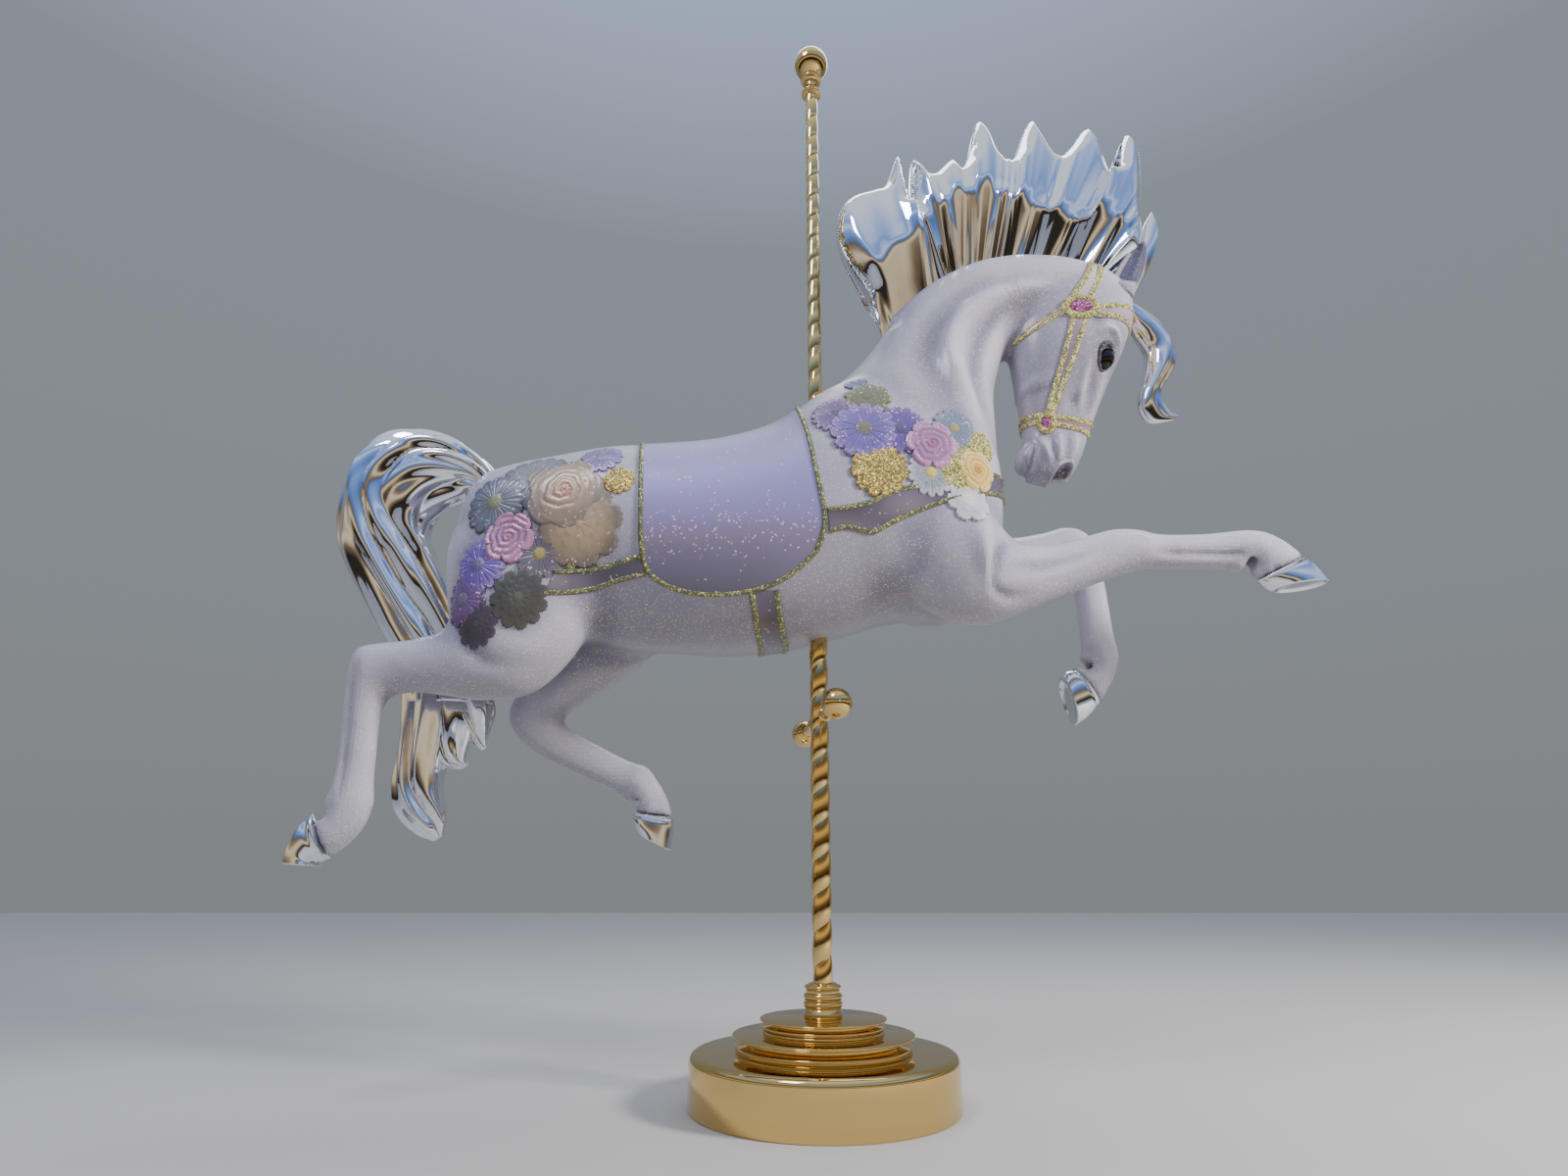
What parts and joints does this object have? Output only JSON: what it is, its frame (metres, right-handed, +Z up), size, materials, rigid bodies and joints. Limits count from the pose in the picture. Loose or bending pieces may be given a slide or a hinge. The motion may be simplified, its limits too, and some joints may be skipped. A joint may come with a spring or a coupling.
{
  "type": "carousel horse on a stand",
  "caption": "Carved carousel horse in full leap with saddle, straps, flowers and flowing mane and tail, on a twisted pole that rises from a round stepped stand.",
  "frame": {"origin": "centre of the stand's flat underside, on the axis of the pole", "axes": "+Z up along the pole, +X the way the horse runs, +Y to the horse's left"},
  "size_m": [2.09, 0.486, 2.4883],
  "materials": {
    "pearl_paint": "carved wood under satin lilac-grey pearl paint with fine gold and silver glitter",
    "chrome": "mirror chrome plate",
    "brass": "polished brass",
    "saddle_lacquer": "lilac metallic lacquer with pink glitter",
    "strap_lacquer": "mauve metallic lacquer between cords of gold glitter",
    "petal_paint": "moulded petals painted lilac, blue, rose, white and gold",
    "rosette_jewel": "pink cabochon in a gold glitter rim",
    "eye_glass": "glossy black glass, opaque"
  },
  "bodies": {
    "root": {"horse": "pearl_paint", "eye_right": "eye_glass", "eye_left": "eye_glass", "hoof_hind_right": "chrome", "hoof_hind_left": "chrome", "hoof_fore_right": "chrome", "hoof_fore_left": "chrome", "saddle_pad": "saddle_lacquer", "crupper_strap_right": "strap_lacquer", "crupper_strap_left": "strap_lacquer", "breast_strap": "strap_lacquer", "girth": "strap_lacquer", "chest_flowers_right": "petal_paint", "chest_flowers_left": "petal_paint", "rump_flowers_right": "petal_paint", "rump_flowers_left": "petal_paint", "bridle": "strap_lacquer", "rosette_brow_right": "rosette_jewel", "rosette_brow_left": "rosette_jewel", "rosette_nose_right": "rosette_jewel", "rosette_nose_left": "rosette_jewel", "mane": "chrome", "forelock": "chrome", "tail": "chrome", "pole_lower": "brass", "pole_upper": "brass", "finial": "brass", "foot_peg_right": "brass", "foot_peg_left": "brass", "base_drum": "brass", "base_step_middle": "brass", "base_step_top": "brass", "base_collar": "brass"}
  },
  "joints": []
}
